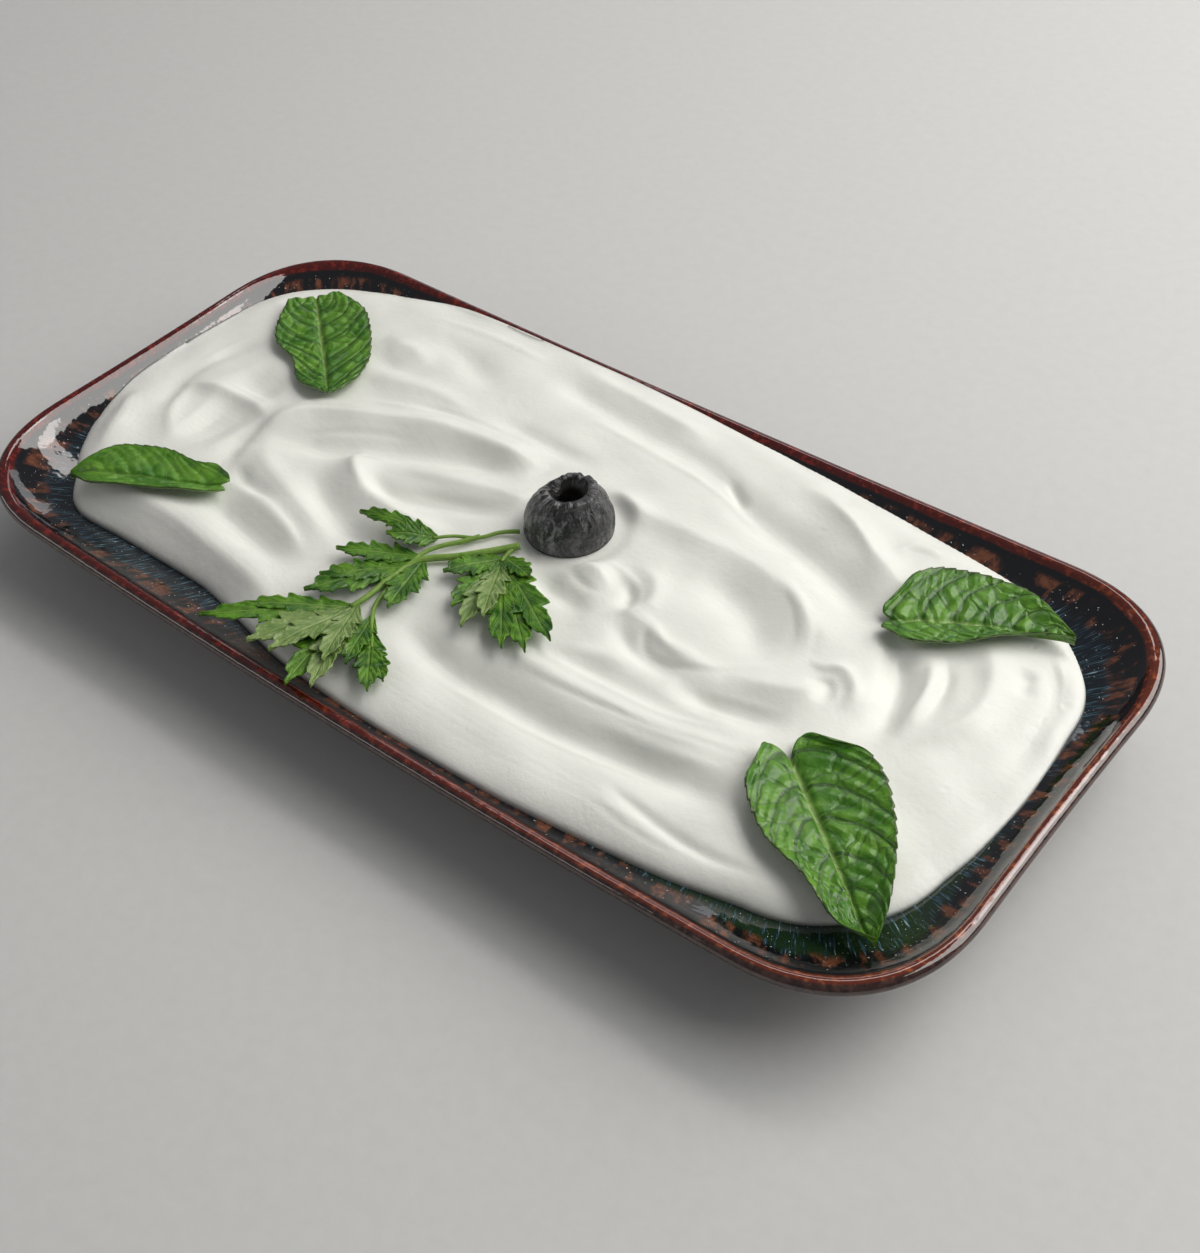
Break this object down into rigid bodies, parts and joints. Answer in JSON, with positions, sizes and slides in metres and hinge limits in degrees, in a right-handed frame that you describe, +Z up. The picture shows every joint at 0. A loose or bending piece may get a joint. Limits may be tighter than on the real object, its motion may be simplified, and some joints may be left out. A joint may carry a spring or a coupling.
{
  "type": "plain yogurt dip in a rectangular dish",
  "caption": "Shallow rectangular glazed dish filled with spoon-swirled white yogurt dip, topped with half a black olive, mint leaves and a parsley sprig.",
  "frame": {"origin": "middle of the foot's underside, on the table", "axes": "+X along the dish, +Y across it to the far side in the picture, +Z up out of the dish"},
  "size_m": [0.2508, 0.1236, 0.0301],
  "materials": {
    "dish": "glossy dark reactive glaze, rust brown at the lip, blue-green and brown streaks inside",
    "yogurt": "soft moist white with a faint sheen",
    "mint": "satin green leaf with pale veins",
    "parsley": "satin green leaf with pale stems",
    "olive": "satin black wrinkled skin"
  },
  "bodies": {
    "root": {"dish": "dish", "yogurt": "yogurt", "mint_leaf_back": "mint", "mint_leaf_left": "mint", "mint_leaf_right": "mint", "mint_leaf_front": "mint", "parsley_sprig": "parsley", "olive": "olive"}
  },
  "joints": []
}
